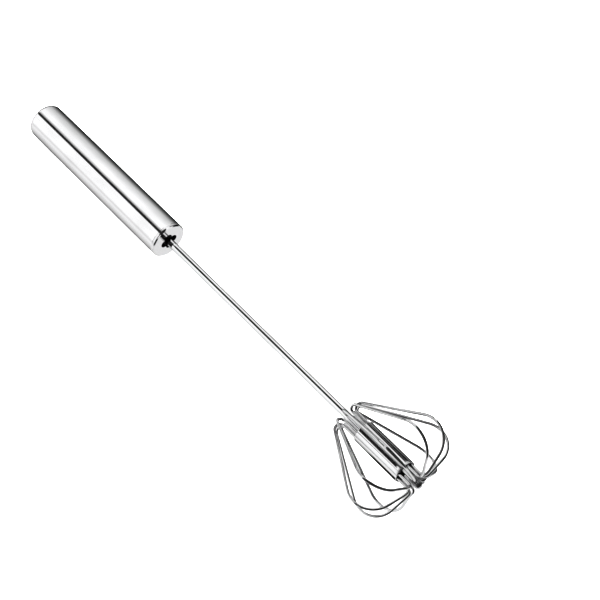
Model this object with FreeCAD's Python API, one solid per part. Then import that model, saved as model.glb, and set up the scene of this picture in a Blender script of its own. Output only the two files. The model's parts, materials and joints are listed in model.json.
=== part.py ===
"""Push-down rotary whisk (semi-automatic egg beater), lying on a table.

Pressing the handle towards the bowl slides a hollow shaft up into it.  A
twisted strip fixed inside the handle runs through a slot in the nut on top of
the shaft, so the shaft and its cage of ten wire loops spin.  A spring pushes
the shaft back out again.

Every piece is first built along the tool axis, which is X: zero at the closed
end of the handle, growing towards the tip.  The whole tool is then leaned back
so that the handle and two wire loops rest on the table, Z up.
Lengths are in millimetres and angles in degrees.
"""
import FreeCAD, Part
import math
import os

Vector = FreeCAD.Vector

# ---- handle --------------------------------------------------------------
handle_length = 110.0            # closed end to the face of the end plate
handle_radius = 10.0
handle_wall = 0.8
closed_end_thickness = 1.5
closed_end_rounding = 3.0        # outer edge of the closed end
seam_bevel = 0.25                # small bevels that make the seam line

plate_thickness = 2.0
plate_bevel = 0.7                # bevelled rim of the end plate
spigot_length = 6.0              # ring of the plate that goes into the tube
spigot_wall = 1.0
hole_centre_radius = 3.0         # middle of the four-lobed hole
lobe_radius = 2.2
lobe_offset = 2.6                # lobe centre from the axis
lobe_count = 4

fit_gap = 0.03                   # between pieces that are pressed together
running_gap = 0.05               # round the sliding shaft
thrust_gap = 0.1                 # between faces that turn on each other
overrun = 1.0                    # how far a cutting shape runs past a face
tolerance = 1e-4                 # when two lengths count as the same

bush_length = 7.0
bush_chamfer = 0.4

# ---- drive: twisted strip, nut, spring -----------------------------------
anchor_length = 4.0
strip_width = 2.5
strip_thickness = 0.7
strip_pitch = 27.0               # length of one full twist
strip_free_end = 98.0
anchor_pin_radius = 0.6
anchor_pin_inset = 0.2           # pin ends set back from the tube wall

seat_thickness = 1.0
seat_radius = 8.4
seat_bore_radius = 1.9
nut_radius = 6.0
nut_length = 8.3
nut_land = 0.8                   # slotted web at the top of the nut
nut_chamfer = 0.5
slot_face_gap = 0.2              # beside the strip's flats, for its twist
slot_edge_gap = 0.1              # beside the strip's edges

spring_wire_radius = 0.45
spring_mean_radius = 7.0
spring_open_turns = 18
spring_points_per_turn = 12

# ---- shaft and hub -------------------------------------------------------
shaft_radius = 2.0
shaft_bore_radius = 1.5
hub_start = 259.0                # upper end of the hub sleeve
hub_length = 29.0
hub_radius = 6.0
hub_wall = 0.55
hub_rounding = 0.25
core_inset = 2.0                 # core ends set back inside the sleeve
shaft_depth_in_hub = 9.0
tip_end = 298.7
tip_rounding = 1.6

# ---- wire loops ----------------------------------------------------------
loop_count = 10
wire_radius = 0.75
loop_root_radius = 4.65          # wire centre inside the hub
loop_upper_leg = 13.0            # leg held in the top of the sleeve
loop_lower_leg = 12.0            # leg held in the bottom of the sleeve
hook_height = 11.3               # top of the hook above the sleeve
hook_bend = 2.8
side_angle = 30.5                # straight side of the loop from the axis
cage_radius = 27.7               # wire centre at the widest place
bulge_bend = 12.2
bottom_slope = 8.0               # bottom run rises this much going outwards
root_bend = 2.1


def cylinder(start, end, radius):
    """A round bar along the tool axis."""
    return Part.makeCylinder(radius, end - start, Vector(start, 0, 0), Vector(1, 0, 0))


def ring(start, end, outer_radius, inner_radius):
    """A round bar with a hole through it."""
    hole = cylinder(start - overrun, end + overrun, inner_radius)
    return cylinder(start, end, outer_radius).cut(hole)


def rim_edges(shape, station, radius):
    """The full circles of one radius lying at one station of the axis."""
    found = []
    for edge in shape.Edges:
        curve = edge.Curve
        if not isinstance(curve, Part.Circle):
            continue
        same_station = abs(curve.Center.x - station) < tolerance
        same_radius = abs(curve.Radius - radius) < tolerance
        if same_station and same_radius:
            found.append(edge)
    return found


def bevelled(shape, size, station, radius):
    return shape.makeChamfer(size, rim_edges(shape, station, radius))


def rounded(shape, size, station, radius):
    return shape.makeFillet(size, rim_edges(shape, station, radius))


def turned(shape, angle):
    """The shape rotated about the tool axis."""
    copy = shape.copy()
    copy.rotate(Vector(0, 0, 0), Vector(1, 0, 0), angle)
    return copy


# ---- stations along the axis ---------------------------------------------
tube_end = handle_length - plate_thickness
bush_start = tube_end - fit_gap - bush_length
bore_radius = handle_radius - handle_wall
anchor_start = closed_end_thickness + fit_gap
anchor_end = anchor_start + anchor_length
nut_end = bush_start - thrust_gap
nut_start = nut_end - nut_length
seat_end = nut_start - thrust_gap
seat_start = seat_end - seat_thickness
hub_end = hub_start + hub_length
shaft_start = nut_start + nut_land + fit_gap
shaft_end = hub_start + shaft_depth_in_hub
core_radius = loop_root_radius - wire_radius - fit_gap


def handle_tube():
    tube = cylinder(0, tube_end, handle_radius)
    tube = rounded(tube, closed_end_rounding, 0, handle_radius)
    tube = bevelled(tube, seam_bevel, tube_end, handle_radius)
    inside = cylinder(closed_end_thickness, tube_end + overrun, bore_radius)
    inside_rounding = closed_end_rounding - handle_wall
    inside = rounded(inside, inside_rounding, closed_end_thickness, bore_radius)
    return tube.cut(inside)


def end_plate():
    plate = cylinder(tube_end, handle_length, handle_radius)
    plate = bevelled(plate, plate_bevel, handle_length, handle_radius)
    plate = bevelled(plate, seam_bevel, tube_end, handle_radius)
    spigot_radius = bore_radius - fit_gap
    spigot = ring(tube_end - spigot_length, tube_end, spigot_radius, spigot_radius - spigot_wall)
    hole = cylinder(tube_end - overrun, handle_length + overrun, hole_centre_radius)
    for number in range(lobe_count):
        lobe = cylinder(tube_end - overrun, handle_length + overrun, lobe_radius)
        lobe.translate(Vector(0, 0, lobe_offset))
        hole = hole.fuse(turned(lobe, number * 360.0 / lobe_count))
    return plate.fuse(spigot).cut(hole).removeSplitter()


def guide_bush():
    bush_end = tube_end - fit_gap
    bush_radius = bore_radius - spigot_wall - 2 * fit_gap
    bush = cylinder(bush_start, bush_end, bush_radius)
    bush = bevelled(bush, bush_chamfer, bush_start, bush_radius)
    bore = cylinder(bush_start - overrun, bush_end + overrun, shaft_radius + running_gap)
    return bush.cut(bore)


def strip_anchor():
    anchor_radius = bore_radius - fit_gap
    anchor = cylinder(anchor_start, anchor_end, anchor_radius)
    corner = closed_end_rounding - handle_wall
    anchor = rounded(anchor, corner, anchor_start, anchor_radius)
    slot = Part.makeBox(
        anchor_length,
        strip_width + 2 * fit_gap,
        strip_thickness + 2 * fit_gap,
        Vector(anchor_start, -strip_width / 2 - fit_gap, -strip_thickness / 2 - fit_gap),
    )
    return anchor.cut(slot).cut(anchor_pin_bar(anchor_pin_radius + fit_gap, bore_radius))


def anchor_pin_bar(radius, half_length):
    """A cross bar through the strip, half way along the anchor."""
    middle = (anchor_start + anchor_end) / 2
    start = Vector(middle, 0, -half_length)
    return Part.makeCylinder(radius, 2 * half_length, start, Vector(0, 0, 1))


def anchor_pin():
    return anchor_pin_bar(anchor_pin_radius, bore_radius - anchor_pin_inset)


def strip_section(station):
    """The strip's rectangular section before it is twisted."""
    half_width = strip_width / 2
    half_thickness = strip_thickness / 2
    corners = [
        Vector(station, -half_width, -half_thickness),
        Vector(station, half_width, -half_thickness),
        Vector(station, half_width, half_thickness),
        Vector(station, -half_width, half_thickness),
    ]
    return Part.makePolygon(corners + corners[:1])


def drive_strip():
    """A flat tail held in the anchor, then a steady right-hand twist."""
    tail = Part.Face(strip_section(anchor_start)).extrude(Vector(anchor_length, 0, 0))
    tail = tail.cut(anchor_pin_bar(anchor_pin_radius + fit_gap, strip_width))
    twisted_length = strip_free_end - anchor_end
    spine = Part.Wire(Part.makeLine(Vector(anchor_end, 0, 0), Vector(strip_free_end, 0, 0)))
    # The helix is made along Z, so it is laid down along the tool axis.
    guide = Part.makeHelix(strip_pitch, twisted_length, strip_width)
    guide.rotate(Vector(0, 0, 0), Vector(0, 1, 0), 90)
    guide.rotate(Vector(0, 0, 0), Vector(1, 0, 0), 90)
    guide.translate(Vector(anchor_end, 0, 0))
    sweep = Part.BRepOffsetAPI.MakePipeShell(spine)
    sweep.setAuxiliarySpine(Part.Wire(guide.Edges), True, 0)
    sweep.add(strip_section(anchor_end))
    sweep.build()
    sweep.makeSolid()
    return tail.fuse(sweep.shape())


def drive_nut():
    nut = cylinder(nut_start, nut_end, nut_radius)
    nut = bevelled(nut, nut_chamfer, nut_end, nut_radius)
    socket_start = nut_start + nut_land
    nut = nut.cut(cylinder(socket_start, nut_end + overrun, shaft_radius + fit_gap))
    slot = Part.makeBox(
        nut_land + 2 * overrun,
        strip_width + 2 * slot_edge_gap,
        strip_thickness + 2 * slot_face_gap,
        Vector(
            nut_start - overrun,
            -strip_width / 2 - slot_edge_gap,
            -strip_thickness / 2 - slot_face_gap,
        ),
    )
    land_middle = nut_start + nut_land / 2
    twist_here = (land_middle - anchor_end) / strip_pitch * 360.0
    return nut.cut(turned(slot, twist_here))


def spring_seat():
    return ring(seat_start, seat_end, seat_radius, seat_bore_radius)


def return_spring():
    """Closed end turns with evenly spaced open turns between them."""
    start = anchor_end + running_gap + spring_wire_radius
    end = seat_start - running_gap - spring_wire_radius
    closed_pitch = 2 * spring_wire_radius + running_gap
    open_length = end - start - 2 * closed_pitch
    turns = spring_open_turns + 2
    points = []
    for step in range(turns * spring_points_per_turn + 1):
        turn = step / spring_points_per_turn
        open_part = min(max(turn - 1, 0), spring_open_turns)
        closed_part = turn - open_part
        station = start + closed_pitch * closed_part + open_length * open_part / spring_open_turns
        angle = 2 * math.pi * turn
        points.append(
            Vector(station, spring_mean_radius * math.cos(angle), spring_mean_radius * math.sin(angle))
        )
    curve = Part.BSplineCurve()
    curve.interpolate(points)
    path = Part.Wire(curve.toShape())
    section = Part.Circle(points[0], curve.tangent(curve.FirstParameter)[0], spring_wire_radius)
    return path.makePipeShell([Part.Wire(section.toShape())], True, True)


def shaft_tube():
    return ring(shaft_start, shaft_end, shaft_radius, shaft_bore_radius)


def tip_pin():
    pin = cylinder(shaft_end + fit_gap, tip_end, shaft_radius)
    return rounded(pin, tip_rounding, tip_end, shaft_radius)


def hub_core():
    return ring(hub_start + core_inset, hub_end - core_inset, core_radius, shaft_radius + fit_gap)


def hub_sleeve():
    sleeve = cylinder(hub_start, hub_end, hub_radius)
    sleeve = rounded(sleeve, hub_rounding, hub_start, hub_radius)
    sleeve = rounded(sleeve, hub_rounding, hub_end, hub_radius)
    bore = cylinder(hub_start - overrun, hub_end + overrun, hub_radius - hub_wall)
    return sleeve.cut(bore)


def arc_middle(centre, bend, angle):
    """A point on a bend; the angle runs from outwards towards the tip."""
    turn = math.radians(angle)
    return Vector(centre.x + bend * math.sin(turn), 0, centre.z + bend * math.cos(turn))


def loop_path():
    """Centre line of one loop, in the plane that holds the tool axis."""
    side = math.radians(side_angle)
    slope = math.radians(bottom_slope)

    hook_centre = Vector(hub_start - hook_height + hook_bend, 0, loop_root_radius + hook_bend)
    upper_leg_start = Vector(hub_start + loop_upper_leg, 0, loop_root_radius)
    upper_leg_end = Vector(hook_centre.x, 0, loop_root_radius)
    hook_top = arc_middle(hook_centre, hook_bend, -90 - side_angle / 2)
    side_start = arc_middle(hook_centre, hook_bend, -side_angle)

    # The straight side is tangent to the hook and to the bulge.
    bulge_height = cage_radius - bulge_bend
    rise = bulge_height - side_start.z + bulge_bend * math.cos(side)
    side_run = rise / math.sin(side)
    side_end = side_start + Vector(side_run * math.cos(side), 0, side_run * math.sin(side))
    bulge_centre = Vector(side_end.x + bulge_bend * math.sin(side), 0, bulge_height)
    widest = arc_middle(bulge_centre, bulge_bend, 0)
    bulge_end = arc_middle(bulge_centre, bulge_bend, 90 - bottom_slope)

    # The bottom run is tangent to the bulge and to the bend at the root.
    root_height = loop_root_radius + root_bend
    bottom_drop = bulge_end.z - root_height - root_bend * math.sin(slope)
    bottom_run = bottom_drop / math.cos(slope)
    bottom_end = bulge_end + Vector(bottom_run * math.sin(slope), 0, -bottom_run * math.cos(slope))
    root_centre = Vector(bottom_end.x - root_bend * math.cos(slope), 0, root_height)
    root_low = arc_middle(root_centre, root_bend, (90 - bottom_slope + 180) / 2)
    lower_leg_start = Vector(root_centre.x, 0, loop_root_radius)
    lower_leg_end = Vector(hub_end - loop_lower_leg, 0, loop_root_radius)

    edges = [
        Part.makeLine(upper_leg_start, upper_leg_end),
        Part.Arc(upper_leg_end, hook_top, side_start).toShape(),
        Part.makeLine(side_start, side_end),
        Part.Arc(side_end, widest, bulge_end).toShape(),
        Part.makeLine(bulge_end, bottom_end),
        Part.Arc(bottom_end, root_low, lower_leg_start).toShape(),
        Part.makeLine(lower_leg_start, lower_leg_end),
    ]
    return Part.Wire(edges)


def wire_loop():
    path = loop_path()
    start = path.Edges[0].Vertexes[0].Point
    section = Part.Circle(start, Vector(1, 0, 0), wire_radius)
    return path.makePipeShell([Part.Wire(section.toShape())], True, True)


pieces = {
    "handle_tube": handle_tube(),
    "end_plate": end_plate(),
    "guide_bush": guide_bush(),
    "strip_anchor": strip_anchor(),
    "anchor_pin": anchor_pin(),
    "drive_strip": drive_strip(),
    "return_spring": return_spring(),
    "spring_seat": spring_seat(),
    "drive_nut": drive_nut(),
    "shaft_tube": shaft_tube(),
    "tip_pin": tip_pin(),
    "hub_core": hub_core(),
    "hub_sleeve": hub_sleeve(),
}
loop = wire_loop()
for number in range(loop_count):
    pieces["wire_loop_%d" % (number + 1)] = turned(loop, (number + 0.5) * 360.0 / loop_count)


steepest_lean = 10.0
lean_halvings = 24


def lowest_point(names, lean):
    """Height of the lowest point of some pieces after leaning the tool."""
    group = Part.makeCompound([pieces[name] for name in names])
    group.rotate(Vector(0, 0, 0), Vector(0, 1, 0), -lean)
    return group.optimalBoundingBox(False).ZMin


def resting_lean():
    """The lean at which the handle and the wire loops touch one flat table."""
    loop_names = [name for name in pieces if name.startswith("wire_loop")]
    low = 0.0
    high = steepest_lean
    for _ in range(lean_halvings):
        middle = (low + high) / 2
        if lowest_point(loop_names, middle) < lowest_point(["handle_tube"], middle):
            low = middle
        else:
            high = middle
    return (low + high) / 2


lean = resting_lean()
whole = Part.makeCompound(list(pieces.values()))
whole.rotate(Vector(0, 0, 0), Vector(0, 1, 0), -lean)
bounds = whole.optimalBoundingBox(False)
to_table = Vector(-bounds.Center.x, -bounds.Center.y, -bounds.ZMin)

os.makedirs("parts", exist_ok=True)
for name, shape in pieces.items():
    placed = shape.copy()
    placed.rotate(Vector(0, 0, 0), Vector(0, 1, 0), -lean)
    placed.translate(to_table)
    placed.exportStep("parts/%s.step" % name)

print("lean %.4f degrees, closed end at x %.4f z %.4f" % (lean, to_table.x, to_table.z))
print("overall %.2f x %.2f x %.2f mm" % (bounds.XLength, bounds.YLength, bounds.ZLength))
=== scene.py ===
"""Looks of the push-down rotary whisk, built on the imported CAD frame.

Visible pieces are rebuilt as clean meshes in tool coordinates: X runs along
the tool from the closed end of the handle to the tip.  One matrix, read from
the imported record, then lays them where the CAD pieces are.  All in metres.
"""
import json
import math

import bpy
from mathutils import Matrix, Quaternion, Vector


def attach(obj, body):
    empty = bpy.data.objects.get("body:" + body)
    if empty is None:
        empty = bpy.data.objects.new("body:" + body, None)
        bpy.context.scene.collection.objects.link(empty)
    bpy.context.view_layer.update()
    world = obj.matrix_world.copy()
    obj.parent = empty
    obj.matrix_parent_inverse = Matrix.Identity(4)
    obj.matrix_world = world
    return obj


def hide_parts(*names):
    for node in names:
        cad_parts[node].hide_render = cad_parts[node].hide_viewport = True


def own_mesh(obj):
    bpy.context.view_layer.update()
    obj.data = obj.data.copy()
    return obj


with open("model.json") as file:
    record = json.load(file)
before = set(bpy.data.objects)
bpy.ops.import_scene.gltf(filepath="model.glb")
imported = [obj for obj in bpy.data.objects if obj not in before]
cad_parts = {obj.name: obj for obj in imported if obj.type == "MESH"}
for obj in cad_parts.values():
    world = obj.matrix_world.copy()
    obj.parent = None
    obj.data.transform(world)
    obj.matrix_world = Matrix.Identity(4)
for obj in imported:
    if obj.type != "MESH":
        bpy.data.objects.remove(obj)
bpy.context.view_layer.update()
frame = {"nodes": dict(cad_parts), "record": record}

MM = 0.001

# ---- dimensions that the frame doesn't give ------------------------------------
# Handle tube and end plate.
wall = 0.8 * MM
end_thickness = 1.5 * MM
end_rounding = 3.0 * MM
closed_face_ring = 4.0 * MM      # one more ring of points on the flat closed end
seam_bevel = 0.08 * MM           # on both sides of the seam between tube and plate
rim_rounding = 0.9 * MM          # from the plate's rim into its bevel
rim_bevel = 0.3 * MM
bevel_angle = 45.0               # degrees
plate_face_ring = 5.5 * MM       # one more ring of points round the hole
spigot_length = 6.0 * MM
spigot_wall = 1.0 * MM
spigot_gap = 0.03 * MM
lobe_spacing = 2 * math.pi / 4   # four lobes
lobe_radius = 2.2 * MM
lobe_offset = 2.6 * MM
hole_shade_radius = 5.0 * MM     # painted shade: the steel is nearly black nearer the axis than this ... ... and at least this far below the plate's face
hole_shade_depth = 0.05 * MM     # ... and at least this far below the plate's face
on_axis = 0.02 * MM              # radius of the ring that stands for a point on the axis

# Shaft, sleeve and tip pin.
shaft_bore = 1.5 * MM
sleeve_wall = 0.55 * MM
sleeve_shade_depth = 0.4 * MM    # painted shade: the sleeve is nearly black deeper than this below its outside
sleeve_rounding = 0.25 * MM
tip_dome = 1.6 * MM

# Wire loops.
loop_count = 10
wire_radius = 0.75 * MM
root_radius = 4.65 * MM
upper_leg = 13.0 * MM
lower_leg = 12.0 * MM
hook_height = 11.3 * MM
hook_bend = 2.8 * MM
side_angle = math.radians(30.5)
cage_radius = 27.7 * MM
bulge_bend = 12.2 * MM
bottom_slope = math.radians(8.0)
root_bend = 2.1 * MM
longest_step = 1.5 * MM          # between two points along a loop
stiff_height = 4.0 * MM          # a loop is bent aside in full from here above its legs

# Return spring.
spring_wire = 0.45 * MM          # radius of its wire
open_turns = 18
closed_pitch = 0.95 * MM
points_per_turn = 20

behaviour = frame["record"]["behaviour"]
joints = {joint["name"]: joint for joint in behaviour["joints"]}
mounts = {mount["name"]: mount for mount in frame["record"]["mounts"]}

# ---- where the tool lies ---------------------------------------------------
closed_end = Vector(mounts["push_face"]["pos_m"])
tool_axis = -Vector(joints["push"]["axis"]).normalized()
lean = math.atan2(tool_axis.z, tool_axis.x)
tool_place = Matrix.Translation(closed_end) @ Matrix.Rotation(-lean, 4, "Y")
tool_from_frame = tool_place.inverted()


def span(node):
    """First station, last station and largest radius of a CAD node."""
    points = [tool_from_frame @ vertex.co for vertex in frame["nodes"][node].data.vertices]
    stations = [point.x for point in points]
    radii = [math.hypot(point.y, point.z) for point in points]
    return min(stations), max(stations), max(radii)


handle_start, tube_end, handle_radius = span("handle_tube")
handle_end = span("end_plate")[1]
hub_start, hub_end, hub_radius = span("hub_sleeve")
shaft_start, shaft_end, shaft_radius = span("shaft_tube")
pin_start, tip_end, pin_radius = span("tip_pin")
spring_start, spring_end, spring_radius = span("return_spring")


# ---- camera, placed by a fit to the photo --------------------------------------
camera_target = Vector((0.0327, 0.0267, 0.0200))
camera_azimuth = math.radians(49.06)
camera_elevation = math.radians(58.81)
camera_roll = math.radians(0.37)
camera_distance = 0.8215
camera_lens = 99.0

camera_back = Vector((
    math.sin(camera_azimuth) * math.cos(camera_elevation),
    -math.cos(camera_azimuth) * math.cos(camera_elevation),
    math.sin(camera_elevation),
))
camera_data = bpy.data.cameras.new("camera")
camera_data.lens = camera_lens
camera_data.clip_start = 0.01
camera_data.clip_end = 20.0
camera = bpy.data.objects.new("camera", camera_data)
camera.location = camera_target + camera_distance * camera_back
camera.rotation_mode = "QUATERNION"
upright = (-camera_back).to_track_quat("-Z", "Y")
camera.rotation_quaternion = Quaternion(camera_back, camera_roll) @ upright
bpy.context.scene.collection.objects.link(camera)
bpy.context.scene.camera = camera
contrast = 0.7                   # gamma of the picture: below 1, middle tones come out darker
bpy.context.scene.view_settings.view_transform = "Standard"
bpy.context.scene.view_settings.gamma = contrast


# ---- mesh helpers --------------------------------------------------------------
def in_scene(name, mesh):
    """A new object in the scene that shows the mesh."""
    piece = bpy.data.objects.new(name, mesh)
    bpy.context.scene.collection.objects.link(piece)
    return piece


def new_object(name, vertices, faces, smooth_angle=35.0):
    """A mesh object with smooth faces and its sharp edges kept sharp."""
    mesh = bpy.data.meshes.new(name)
    mesh.from_pydata(vertices, [], faces)
    mesh.validate()
    mesh.polygons.foreach_set("use_smooth", [True] * len(mesh.polygons))
    mesh.set_sharp_from_angle(angle=math.radians(smooth_angle))
    mesh.update()
    return in_scene(name, mesh)


def revolved(name, profile, steps=128, closed=True):
    """Turns (station, radius) pairs about the tool axis.

    A radius may be a function of the angle, for a hole that isn't round.
    A closed profile is a tube's section; an open one is capped at both ends.
    """
    vertices = []
    faces = []
    for station, radius in profile:
        for step in range(steps):
            angle = 2 * math.pi * step / steps
            here = radius(angle) if callable(radius) else radius
            vertices.append((station, here * math.sin(angle), here * math.cos(angle)))
    rows = len(profile)
    for row in range(rows if closed else rows - 1):
        this_row = row * steps
        next_row = (row + 1) % rows * steps
        for step in range(steps):
            after = (step + 1) % steps
            faces.append((this_row + step, this_row + after, next_row + after, next_row + step))
    if not closed:
        faces.append(tuple(range(steps)))
        faces.append(tuple(reversed(range((rows - 1) * steps, rows * steps))))
    return new_object(name, vertices, faces)


def arc(station, radius, bend, start, end, steps):
    """Points on a bend, as (station, radius); a zero angle points away from the axis."""
    points = []
    for step in range(steps + 1):
        angle = start + (end - start) * step / steps
        points.append((station + bend * math.sin(angle), radius + bend * math.cos(angle)))
    return points


def corner(station, radius, size, start_degrees, end_degrees, steps=8):
    """An arc given in degrees: zero points outwards, 90 to the tip."""
    return arc(station, radius, size, math.radians(start_degrees), math.radians(end_degrees), steps)


def swept(name, path, radius, sides=20):
    """A round wire along a list of points, with flat ends."""
    vertices = []
    faces = []
    tangents = []
    for index, point in enumerate(path):
        before = path[max(index - 1, 0)]
        after = path[min(index + 1, len(path) - 1)]
        tangents.append((after - before).normalized())
    side = tangents[0].orthogonal().normalized()
    for index, (point, tangent) in enumerate(zip(path, tangents)):
        if index:
            turn = tangents[index - 1].rotation_difference(tangent)
            side = turn @ side
        side = (side - side.dot(tangent) * tangent).normalized()
        other = tangent.cross(side)
        for step in range(sides):
            angle = 2 * math.pi * step / sides
            offset = radius * (math.cos(angle) * side + math.sin(angle) * other)
            vertices.append(point + offset)
    for row in range(len(path) - 1):
        for step in range(sides):
            after = (step + 1) % sides
            low = row * sides
            high = low + sides
            faces.append((low + step, high + step, high + after, low + after))
    faces.append(tuple(range(sides)))
    faces.append(tuple(reversed(range((len(path) - 1) * sides, len(path) * sides))))
    return new_object(name, [tuple(vertex) for vertex in vertices], faces)


def fit(piece, body, node, material):
    """Lays a piece on the tool, lets it ride, and swaps it for its CAD node."""
    piece.data.materials.append(material)
    piece.matrix_world = tool_place
    bpy.context.view_layer.update()
    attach(piece, body)
    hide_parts(node)


# ---- materials -----------------------------------------------------------------
def grey(level):
    return (level, level, level)


def scaled(colour, factor):
    return tuple(channel * factor for channel in colour)


def fill_ramp(ramp, stops):
    """Gives a colour ramp its stops, each a position and a colour."""
    elements = ramp.color_ramp.elements
    while len(elements) < len(stops):
        elements.new(0.5)
    for element, (position, colour) in zip(elements, stops):
        element.position = position
        element.color = (*colour, 1.0)


class Nodes:
    """Short names for building one material's node tree."""

    def __init__(self, name):
        self.material = bpy.data.materials.new(name)
        self.material.use_nodes = True
        self.tree = self.material.node_tree
        self.shader = self.tree.nodes["Principled BSDF"]

    def add(self, kind, **settings):
        node = self.tree.nodes.new(kind)
        for key, value in settings.items():
            if key.startswith("in_"):
                node.inputs[key[3:].replace("_", " ")].default_value = value
            else:
                setattr(node, key, value)
        return node

    def link(self, source, target):
        self.tree.links.new(source, target)

    def streaks(self, stretch, scale, detail=6.0):
        """Noise in the piece's own coordinates; a small first stretch draws it out along the tool."""
        place = self.add("ShaderNodeTexCoord")
        mapping = self.add("ShaderNodeMapping")
        mapping.inputs["Scale"].default_value = stretch
        noise = self.add("ShaderNodeTexNoise", in_Scale=scale, in_Detail=detail)
        self.link(place.outputs["Object"], mapping.inputs["Vector"])
        self.link(mapping.outputs["Vector"], noise.inputs["Vector"])
        return noise.outputs["Fac"]

    def ramp(self, source, stops):
        ramp = self.add("ShaderNodeValToRGB")
        fill_ramp(ramp, stops)
        self.link(source, ramp.inputs["Fac"])
        return ramp.outputs["Color"]

    def from_axis(self):
        """Distance from the tool's axis."""
        place = self.add("ShaderNodeTexCoord")
        flat = self.add("ShaderNodeMapping")
        flat.inputs["Scale"].default_value = (0.0, 1.0, 1.0)
        self.link(place.outputs["Object"], flat.inputs["Vector"])
        length = self.add("ShaderNodeVectorMath", operation="LENGTH")
        self.link(flat.outputs["Vector"], length.inputs[0])
        return length.outputs["Value"]

    def painted_bore_shade(self, colour, radius, station=1.0):
        """The colour with painted shade: nearly black nearer the axis than the radius and before the
        station.

        The station left out lies past the tip, so the whole length counts.
        """
        place = self.add("ShaderNodeTexCoord")
        split = self.add("ShaderNodeSeparateXYZ")
        self.link(place.outputs["Object"], split.inputs[0])
        near = self.add("ShaderNodeMath", operation="LESS_THAN")
        near.inputs[1].default_value = radius
        self.link(self.from_axis(), near.inputs[0])
        before = self.add("ShaderNodeMath", operation="LESS_THAN")
        before.inputs[1].default_value = station
        self.link(split.outputs["X"], before.inputs[0])
        both = self.add("ShaderNodeMath", operation="MULTIPLY")
        self.link(near.outputs[0], both.inputs[0])
        self.link(before.outputs[0], both.inputs[1])
        mix = self.add("ShaderNodeMix", data_type="RGBA")
        self.link(both.outputs[0], mix.inputs["Factor"])
        self.link(colour, mix.inputs["A"])
        # Nearly black: painted shade inside the bore.
        mix.inputs["B"].default_value = (*grey(0.02), 1.0)
        return mix.outputs["Result"]

    def bump(self, height, strength, distance):
        bump = self.add("ShaderNodeBump", in_Strength=strength, in_Distance=distance)
        self.link(height, bump.inputs["Height"])
        return bump.outputs["Normal"]


def polished_steel(name, tint, edge_level, smooth, dull, streak_strength, bore=0.0):
    """Polished stainless steel: faint lengthwise polishing lines and hazy patches.

    Roughness runs from smooth to dull. Inside a bore of the given radius the
    steel is nearly black: painted shade.
    """
    nodes = Nodes(name)
    shader = nodes.shader
    shader.inputs["Metallic"].default_value = 1.0
    shader.inputs["Specular Tint"].default_value = (*grey(edge_level), 1.0)
    fine = nodes.streaks(stretch=(0.02, 1.0, 1.0), scale=5200.0)
    haze = nodes.streaks(stretch=(0.35, 1.0, 1.0), scale=160.0, detail=3.0)
    colour = nodes.ramp(haze, [(0.3, scaled(tint, 0.93)), (0.6, tint)])
    if bore:
        colour = nodes.painted_bore_shade(colour, bore)
    nodes.link(colour, shader.inputs["Base Color"])
    both = nodes.add("ShaderNodeMath", operation="MULTIPLY")
    nodes.link(fine, both.inputs[0])
    nodes.link(haze, both.inputs[1])
    roughness = nodes.ramp(both.outputs[0], [(0.12, grey(smooth)), (0.42, grey(dull))])
    nodes.link(roughness, shader.inputs["Roughness"])
    nodes.link(nodes.bump(fine, streak_strength, distance=0.02 * MM), shader.inputs["Normal"])
    return nodes.material


def turned_steel(name, tint, bore, face):
    """Steel turned on a lathe and then polished: faint rings, nearly a mirror.

    It has painted shade, nearly black, inside the bore, as far up as the station of the face.
    """
    nodes = Nodes(name)
    shader = nodes.shader
    shader.inputs["Metallic"].default_value = 1.0
    rings = nodes.add("ShaderNodeTexNoise", noise_dimensions="1D", in_Scale=3500.0, in_Detail=4.0)
    nodes.link(nodes.from_axis(), rings.inputs["W"])
    height = rings.outputs["Fac"]
    colour = nodes.ramp(height, [(0.3, scaled(tint, 0.93)), (0.7, tint)])
    nodes.link(nodes.painted_bore_shade(colour, bore, face), shader.inputs["Base Color"])
    nodes.link(nodes.ramp(height, [(0.2, grey(0.14)), (0.8, grey(0.06))]), shader.inputs["Roughness"])
    nodes.link(nodes.bump(height, strength=0.1, distance=0.01 * MM), shader.inputs["Normal"])
    return nodes.material


def plain_steel(name, tint, roughness):
    """Unpolished inner steel with a mill finish and small stains."""
    nodes = Nodes(name)
    shader = nodes.shader
    shader.inputs["Metallic"].default_value = 1.0
    grain = nodes.streaks(stretch=(1.0, 1.0, 1.0), scale=2600.0)
    stain = nodes.streaks(stretch=(1.0, 1.0, 1.0), scale=220.0, detail=3.0)
    colour = nodes.ramp(stain, [(0.35, scaled(tint, 0.72)), (0.6, tint)])
    nodes.link(colour, shader.inputs["Base Color"])
    dullness = nodes.ramp(grain, [(0.2, grey(roughness * 0.8)), (0.8, grey(roughness * 1.25))])
    nodes.link(dullness, shader.inputs["Roughness"])
    nodes.link(nodes.bump(grain, strength=0.3, distance=0.03 * MM), shader.inputs["Normal"])
    return nodes.material


def moulded_plastic(name, tint):
    """Black nylon with a fine moulded grain."""
    nodes = Nodes(name)
    shader = nodes.shader
    grain = nodes.streaks(stretch=(1.0, 1.0, 1.0), scale=3200.0)
    patch = nodes.streaks(stretch=(1.0, 1.0, 1.0), scale=300.0, detail=2.0)
    colour = nodes.ramp(patch, [(0.35, tint), (0.65, scaled(tint, 1.6))])
    nodes.link(colour, shader.inputs["Base Color"])
    nodes.link(nodes.ramp(grain, [(0.3, grey(0.45)), (0.7, grey(0.6))]), shader.inputs["Roughness"])
    nodes.link(nodes.bump(grain, strength=0.2, distance=0.03 * MM), shader.inputs["Normal"])
    return nodes.material


def matte(name, level):
    """An even grey without any gloss."""
    nodes = Nodes(name)
    nodes.shader.inputs["Base Color"].default_value = (*grey(level), 1.0)
    nodes.shader.inputs["Roughness"].default_value = 1.0
    nodes.shader.inputs["Specular IOR Level"].default_value = 0.0
    return nodes.material


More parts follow.
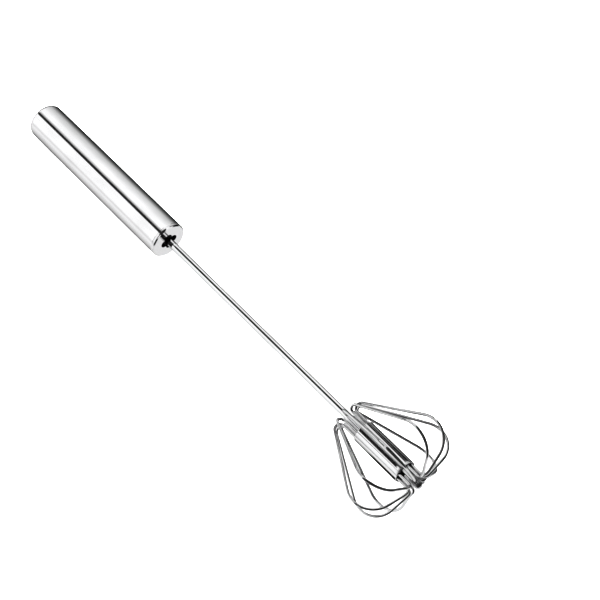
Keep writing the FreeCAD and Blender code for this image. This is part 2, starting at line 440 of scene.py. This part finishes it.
handle_steel = polished_steel(
    "handle_steel", tint=(0.92, 0.92, 0.925), edge_level=0.35, smooth=0.06, dull=0.14,
    streak_strength=0.05,
)
# Inside its hole and spigot the plate gets painted shade.
plate_steel = turned_steel(
    "end_plate_steel", tint=(0.86, 0.86, 0.865), bore=hole_shade_radius,
    face=handle_end - hole_shade_depth,
)
shaft_steel = polished_steel(
    "shaft_steel", tint=(0.90, 0.90, 0.905), edge_level=0.25, smooth=0.05, dull=0.12,
    streak_strength=0.05,
)
# Inside its bore the sleeve gets painted shade.
sleeve_steel = polished_steel(
    "sleeve_steel", tint=(0.90, 0.90, 0.905), edge_level=0.25, smooth=0.05, dull=0.12,
    streak_strength=0.05, bore=hub_radius - sleeve_shade_depth,
)
wire_steel = polished_steel(
    "wire_steel", tint=(0.85, 0.85, 0.855), edge_level=0.6, smooth=0.06, dull=0.16,
    streak_strength=0.08,
)
spring_steel = plain_steel("spring_steel", tint=(0.62, 0.62, 0.63), roughness=0.25)
inner_steel = plain_steel("inner_steel", tint=(0.45, 0.45, 0.46), roughness=0.38)
# Nearly black steel for the hub core: painted shade, for the core sits deep between the wires.
painted_shade_core_steel = plain_steel("painted_shade_core_steel", tint=(0.06, 0.06, 0.062), roughness=0.5)
black_plastic = moulded_plastic("black_plastic", tint=(0.006, 0.006, 0.007))
paper = matte("white_paper", 0.9)
felt = matte("black_felt", 0.01)


# ---- handle --------------------------------------------------------------------
inside_rounding = end_rounding - wall
inner_radius = handle_radius - wall
outside = corner(
    handle_start + end_rounding,
    handle_radius - end_rounding, end_rounding, -90, 0, steps=20,
)
inside = corner(
    handle_start + end_thickness + inside_rounding,
    inner_radius - inside_rounding, inside_rounding, 0, -90, steps=14,
)
tube_profile = (
    [(handle_start, on_axis), (handle_start, closed_face_ring)]
    + outside
    + [(tube_end - seam_bevel, handle_radius), (tube_end, handle_radius - seam_bevel)]
    + [(tube_end, inner_radius)]
    + inside
    + [(handle_start + end_thickness, on_axis)]
)
handle = revolved("handle_tube_visual", tube_profile, steps=160)
fit(handle, "handle", "handle_tube", handle_steel)

# ---- end plate with its four-lobed hole ------------------------------------------
def hole_edge(angle):
    """Radius of the four-lobed hole in one direction."""
    from_lobe = (angle + lobe_spacing / 2) % lobe_spacing - lobe_spacing / 2
    across = lobe_offset * math.sin(from_lobe)
    return lobe_offset * math.cos(from_lobe) + math.sqrt(lobe_radius ** 2 - across ** 2)


spigot_radius = inner_radius - spigot_gap
spigot_inner = spigot_radius - spigot_wall
rounding_station = handle_end - rim_bevel - rim_rounding * math.sin(math.radians(bevel_angle))
rounding_radius = handle_radius - rim_rounding
rim = corner(rounding_station, rounding_radius, rim_rounding, bevel_angle, 0)
plate_profile = [
    (tube_end, hole_edge),
    (handle_end, hole_edge),
    (handle_end, plate_face_ring),
    (handle_end, rim[0][1] - rim_bevel),
    *rim,
    (tube_end + seam_bevel, handle_radius),
    (tube_end, handle_radius - seam_bevel),
    (tube_end, spigot_radius),
    (tube_end - spigot_length, spigot_radius),
    (tube_end - spigot_length, spigot_inner),
    (tube_end, spigot_inner),
]
plate = revolved("end_plate_visual", plate_profile, steps=192)
fit(plate, "handle", "end_plate", plate_steel)

# ---- shaft, sleeve and tip ---------------------------------------------------------
shaft_profile = [
    (shaft_start, shaft_bore),
    (shaft_end, shaft_bore),
    (shaft_end, shaft_radius),
    (shaft_start, shaft_radius),
]
shaft = revolved("shaft_visual", shaft_profile, steps=64)
fit(shaft, "beater", "shaft_tube", shaft_steel)

sleeve_bore = hub_radius - sleeve_wall
edge_radius = hub_radius - sleeve_rounding
sleeve_profile = (
    [(hub_start, sleeve_bore)]
    + corner(hub_start + sleeve_rounding, edge_radius, sleeve_rounding, -90, 0)
    + corner(hub_end - sleeve_rounding, edge_radius, sleeve_rounding, 0, 90)
    + [(hub_end, sleeve_bore)]
)
sleeve = revolved("hub_sleeve_visual", sleeve_profile)
fit(sleeve, "beater", "hub_sleeve", sleeve_steel)

tip_profile = (
    [(pin_start, on_axis), (pin_start, pin_radius)]
    + corner(tip_end - tip_dome, pin_radius - tip_dome, tip_dome, 0, 90, steps=16)
    + [(tip_end, on_axis)]
)
tip = revolved("tip_pin_visual", tip_profile, steps=64, closed=False)
fit(tip, "beater", "tip_pin", shaft_steel)

# ---- wire loops ---------------------------------------------------------------------
def loop_profile():
    """Centre line of a loop as (station, radius), from its upper to its lower leg."""
    hook_x = hub_start - hook_height + hook_bend
    hook = arc(hook_x, root_radius + hook_bend, hook_bend, -math.pi, -side_angle, steps=18)
    side_x, side_r = hook[-1]
    bulge_r = cage_radius - bulge_bend
    rise = bulge_r - side_r + bulge_bend * math.cos(side_angle)
    bulge_x = side_x + rise / math.tan(side_angle) + bulge_bend * math.sin(side_angle)
    bulge = arc(bulge_x, bulge_r, bulge_bend, -side_angle, math.pi / 2 - bottom_slope, steps=30)
    end_x, end_r = bulge[-1]
    root_r = root_radius + root_bend
    drop = end_r - root_r - root_bend * math.sin(bottom_slope)
    root_x = end_x + drop * math.tan(bottom_slope) - root_bend * math.cos(bottom_slope)
    root = arc(root_x, root_r, root_bend, math.pi / 2 - bottom_slope, math.pi, steps=14)
    start = [(hub_start + upper_leg, root_radius)]
    end = [(hub_end - lower_leg, root_radius)]
    return start + hook + bulge + root + end


def evenly(points, spacing):
    """The same line with points no further apart than the spacing."""
    result = [points[0]]
    for before, after in zip(points, points[1:]):
        parts = max(1, math.ceil((after - before).length / spacing))
        for part in range(1, parts + 1):
            result.append(before.lerp(after, part / parts))
    return result


# How far each loop leans to one side, in degrees, and how far it is pushed back
# towards the handle, in millimetres.  Loops 1 and 6 were given; the other
# eight are rounded results of a fit of the cage to the photo.
loop_sways = (-2, -1, 1, -4, -6, 10, -4, 0, -3, -3)
loop_pushes = (0.0, -0.6, -0.5, -0.3, 0.4, 3.1, 1.6, 0.0, -0.5, -0.7)
flat_loop = [Vector((station, 0.0, radius)) for station, radius in loop_profile()]
flat_loop = evenly(flat_loop, longest_step)
for number in range(loop_count):
    turn = Matrix.Rotation(math.radians((number + 0.5) * 360.0 / loop_count), 3, "X")
    swing = math.radians(loop_sways[number])
    path = []
    for point in flat_loop:
        looseness = min(1.0, max(0.0, point.z - root_radius) / stiff_height)
        bent = Matrix.Rotation(swing * looseness, 3, "X") @ point
        bent.x -= loop_pushes[number] * MM * looseness
        path.append(turn @ bent)
    loop = swept("wire_loop_visual_%d" % (number + 1), path, wire_radius)
    fit(loop, "beater", "wire_loop_%d" % (number + 1), wire_steel)

# ---- return spring --------------------------------------------------------------------
spring_mean = spring_radius - spring_wire
first_centre = spring_start + spring_wire
last_centre = spring_end - spring_wire
open_length = last_centre - first_centre - 2 * closed_pitch
spring_path = []
for step in range((open_turns + 2) * points_per_turn + 1):
    turns = step / points_per_turn
    opened = min(max(turns - 1, 0), open_turns)
    station = first_centre + closed_pitch * (turns - opened) + open_length * opened / open_turns
    angle = 2 * math.pi * turns
    spring_path.append(Vector((station, spring_mean * math.cos(angle), spring_mean * math.sin(angle))))
spring = swept("return_spring_visual", spring_path, spring_wire, sides=10)
fit(spring, "handle", "return_spring", spring_steel)
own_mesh(spring)

# ---- CAD pieces that keep their shape ---------------------------------------------------
kept = {
    "guide_bush": black_plastic,
    "strip_anchor": black_plastic,
    "drive_nut": black_plastic,
    "anchor_pin": inner_steel,
    "drive_strip": inner_steel,
    "spring_seat": inner_steel,
    "hub_core": painted_shade_core_steel,
}
for name, material in kept.items():
    mesh = frame["nodes"][name].data
    mesh.materials.clear()
    mesh.materials.append(material)

# ---- floor and black cards -----------------------------------------------------------------
def flat_sheet(name, corner_low, corner_high, height):
    """A level sheet between two corners."""
    x0, y0 = corner_low
    x1, y1 = corner_high
    mesh = bpy.data.meshes.new(name)
    corners = [(x0, y0, height), (x1, y0, height), (x1, y1, height), (x0, y1, height)]
    mesh.from_pydata(corners, [], [(0, 1, 2, 3)])
    sheet = in_scene(name, mesh)
    return sheet


floor_reach = 2.0
floor_gap = 0.2 * MM             # below the lowest point of the tool
floor = flat_sheet("floor", (-floor_reach, -floor_reach), (floor_reach, floor_reach), -floor_gap)
floor.visible_glossy = False
floor.data.materials.append(paper)


def black_card(name, points, columns):
    """A black sheet over a grid of points, seen only in the steel."""
    mesh = bpy.data.meshes.new(name)
    faces = []
    for row in range(len(points) // columns - 1):
        for column in range(columns - 1):
            first = row * columns + column
            faces.append((first, first + 1, first + columns + 1, first + columns))
    mesh.from_pydata([tuple(tool_place @ point) for point in points], [], faces)
    card = in_scene(name, mesh)
    card.visible_camera = False
    card.visible_diffuse = False
    card.visible_shadow = False
    card.data.materials.append(felt)


def black_strip(name, ends, half_widths, degrees, distance):
    """A strip along the tool, at an angle round it and a distance from its axis."""
    angle = math.radians(degrees)
    out = Vector((0.0, math.cos(angle), math.sin(angle)))
    side = Vector((0.0, -math.sin(angle), math.cos(angle)))
    points = []
    for station, half_width in zip(ends, half_widths):
        for across in (-half_width, half_width):
            points.append(Vector((station, 0.0, 0.0)) + distance * out + across * side)
    black_card(name, points, 2)


shaft_strip_ends = (86 * MM, 232 * MM)
sleeve_strip_ends = (241 * MM, 276 * MM)
black_strip("strip_over_shaft", shaft_strip_ends, (22 * MM, 22 * MM), degrees=98, distance=50 * MM)
black_strip("strip_over_sleeve", sleeve_strip_ends, (8 * MM, 8 * MM), degrees=122, distance=40 * MM)
black_strip("strip_by_sleeve", sleeve_strip_ends, (10 * MM, 16 * MM), degrees=24, distance=40 * MM)

# A black tent over the whisk head, from the axis ahead of the tip to just
# behind the middle of the sleeve, and open towards the handle and the floor.
tent_centre = Vector(((hub_start + hub_end) / 2, 0.0, 0.0))
tent_radius = 80 * MM
tent_reach = math.radians(94.0)
tent_hem = 3.0                   # degrees above the level of the axis, on both sides
tent_rows = 12
tent_columns = 24
tent_points = []
for row in range(tent_rows + 1):
    polar = tent_reach * row / tent_rows
    for column in range(tent_columns + 1):
        angle = math.radians(tent_hem + (180.0 - 2 * tent_hem) * column / tent_columns)
        way = Vector((
            math.cos(polar), math.sin(polar) * math.cos(angle), math.sin(polar) * math.sin(angle)
        ))
        tent_points.append(tent_centre + tent_radius * way)
black_card("tent", tent_points, tent_columns + 1)


# ---- what the steel mirrors -----------------------------------------------------------------
studio_strength = 1.1
plain_strength = 3.5             # of the white light on everything but reflections
ramp_start = -70.0               # degrees, where the ramp round the tool begins
opening_dark = 18.0              # degrees from the camera; all dark nearer than this ...
opening_edge = 24.0              # ... and no longer dark further than this

# Tones, 0 to 255, by the angle round the X axis in degrees.  They began as tones
# read off the photo across the handle, then were rounded and changed.
room_wall = [(-70, 60), (-45, 60), (-22, 75), (-8, 130), (14, 200), (45, 232)]
overhead_box = [(60, 255), (87, 255), (93, 210), (99, 150), (102, 60)]
gap = [(105, 0), (115, 0)]
near_box = [(117, 255), (176, 255)]
table = [(190, 215), (200, 248), (245, 225), (288, 195), (290, 60)]


def light_level(tone):
    """Light that gives a grey of this tone, 0 to 255, on the finished picture."""
    share = tone / 255.0
    return ((share + 0.055) / 1.055) ** (2.4 * contrast)


def studio_world():
    """A white studio with dark gaps, wrapped round the tool.

    What the steel mirrors goes first by the angle round the X axis: 0 degrees is
    the horizon on the +Y side, 90 is overhead, 180 the horizon on the -Y side.
    Painted over that is what stands further along the X axis.  A round dark
    opening is left where the picture is taken from.
    """
    world = bpy.data.worlds.new("studio")
    bpy.context.scene.world = world
    world.use_nodes = True
    tree = world.node_tree
    tree.nodes.clear()

    def node(kind, **settings):
        made = tree.nodes.new(kind)
        for key, value in settings.items():
            setattr(made, key, value)
        return made

    def math_node(operation, first, second):
        made = node("ShaderNodeMath", operation=operation)
        for socket, value in zip(made.inputs, (first, second)):
            if isinstance(value, float):
                socket.default_value = value
            else:
                tree.links.new(value, socket)
        return made.outputs[0]

    def graded(source, low, high, at_low, at_high):
        made = node("ShaderNodeMapRange", interpolation_type="SMOOTHSTEP")
        made.inputs["From Min"].default_value = low
        made.inputs["From Max"].default_value = high
        made.inputs["To Min"].default_value = at_low
        made.inputs["To Max"].default_value = at_high
        tree.links.new(source, made.inputs["Value"])
        return made.outputs[0]

    def above(source, low, high):
        """A mask: 0 up to the low value, 1 from the high one."""
        return graded(source, low, high, 0.0, 1.0)

    def below(source, low, high):
        """A mask: 1 up to the low value, 0 from the high one."""
        return graded(source, low, high, 1.0, 0.0)

    def place_on_ramp(angle):
        return (angle - ramp_start) / 360.0

    def sector(start, end, edge):
        """Two masks that leave what lies between two angles round the X axis."""
        rise = above(around, place_on_ramp(start), place_on_ramp(start + edge))
        fall = below(around, place_on_ramp(end - edge), place_on_ramp(end))
        return rise, fall

    def painted(base, tone, *masks):
        """The base colour with one tone laid over it where all the masks are 1."""
        mask = masks[0]
        for other in masks[1:]:
            mask = math_node("MULTIPLY", mask, other)
        made = node("ShaderNodeMix", data_type="RGBA")
        tree.links.new(mask, made.inputs["Factor"])
        tree.links.new(base, made.inputs["A"])
        made.inputs["B"].default_value = (*grey(light_level(tone)), 1.0)
        return made.outputs["Result"]

    # The direction looked in, and its angle round the X axis as a place on the ramp.
    way = node("ShaderNodeTexCoord").outputs["Generated"]
    split = node("ShaderNodeSeparateXYZ")
    tree.links.new(way, split.inputs[0])
    along = split.outputs["X"]
    height = split.outputs["Z"]
    roll = node("ShaderNodeMapping", vector_type="POINT")
    roll.inputs["Rotation"].default_value = (math.radians(-ramp_start), 0.0, 0.0)
    tree.links.new(way, roll.inputs["Vector"])
    rolled = node("ShaderNodeSeparateXYZ")
    tree.links.new(roll.outputs["Vector"], rolled.inputs[0])
    minus_z = math_node("MULTIPLY", rolled.outputs["Z"], -1.0)
    minus_y = math_node("MULTIPLY", rolled.outputs["Y"], -1.0)
    turned = math_node("ARCTAN2", minus_z, minus_y)
    around = math_node("ADD", math_node("DIVIDE", turned, 2 * math.pi), 0.5)

    ramp = node("ShaderNodeValToRGB")
    tree.links.new(around, ramp.inputs["Fac"])
    tones = room_wall + overhead_box + gap + near_box + table
    fill_ramp(ramp, [(place_on_ramp(angle), grey(light_level(tone))) for angle, tone in tones])
    colour = ramp.outputs["Color"]

    # A white wall ahead of the tool.
    colour = painted(colour, 252, above(along, 0.1, 0.2))
    # A dark patch almost straight below, a little towards the handle.
    patch = (above(along, -0.33, -0.30), below(along, -0.15, -0.1), below(height, -0.75, -0.65))
    colour = painted(colour, 10, *patch)
    # Two black panels, one on each side; the far one starts further back.
    far_panel = (above(along, -0.26, -0.21), below(along, 0.3, 0.38), *sector(-60, 50, 4))
    colour = painted(colour, 0, *far_panel)
    near_panel = (above(along, 0.08, 0.13), below(along, 0.3, 0.38), *sector(100, 230, 4))
    colour = painted(colour, 0, *near_panel)
    # A black flag on the near side of the wall.
    flag = (above(along, 0.3, 0.36), below(along, 0.62, 0.7), *sector(104, 232, 3.6))
    colour = painted(colour, 0, *flag)
    # The foot of the wall is black, and below it lies plain pale floor.
    colour = painted(colour, 0, above(along, 0.2, 0.35), below(height, 0.25, 0.35))
    colour = painted(colour, 235, above(along, 0.05, 0.25), below(height, -0.35, -0.15))

    facing = node("ShaderNodeVectorMath", operation="DOT_PRODUCT")
    tree.links.new(way, facing.inputs[0])
    facing.inputs[1].default_value = camera_back
    edge_cosine = math.cos(math.radians(opening_edge))
    dark_cosine = math.cos(math.radians(opening_dark))
    opening = below(facing.outputs["Value"], edge_cosine, dark_cosine)

    studio = node("ShaderNodeBackground")
    tree.links.new(colour, studio.inputs["Color"])
    tree.links.new(math_node("MULTIPLY", opening, studio_strength), studio.inputs["Strength"])
    plain = node("ShaderNodeBackground")
    plain.inputs["Color"].default_value = (1.0, 1.0, 1.0, 1.0)
    plain.inputs["Strength"].default_value = plain_strength
    light_path = node("ShaderNodeLightPath")
    choose = node("ShaderNodeMixShader")
    tree.links.new(light_path.outputs["Is Glossy Ray"], choose.inputs["Fac"])
    tree.links.new(plain.outputs[0], choose.inputs[1])
    tree.links.new(studio.outputs[0], choose.inputs[2])
    output = node("ShaderNodeOutputWorld")
    tree.links.new(choose.outputs[0], output.inputs["Surface"])


studio_world()
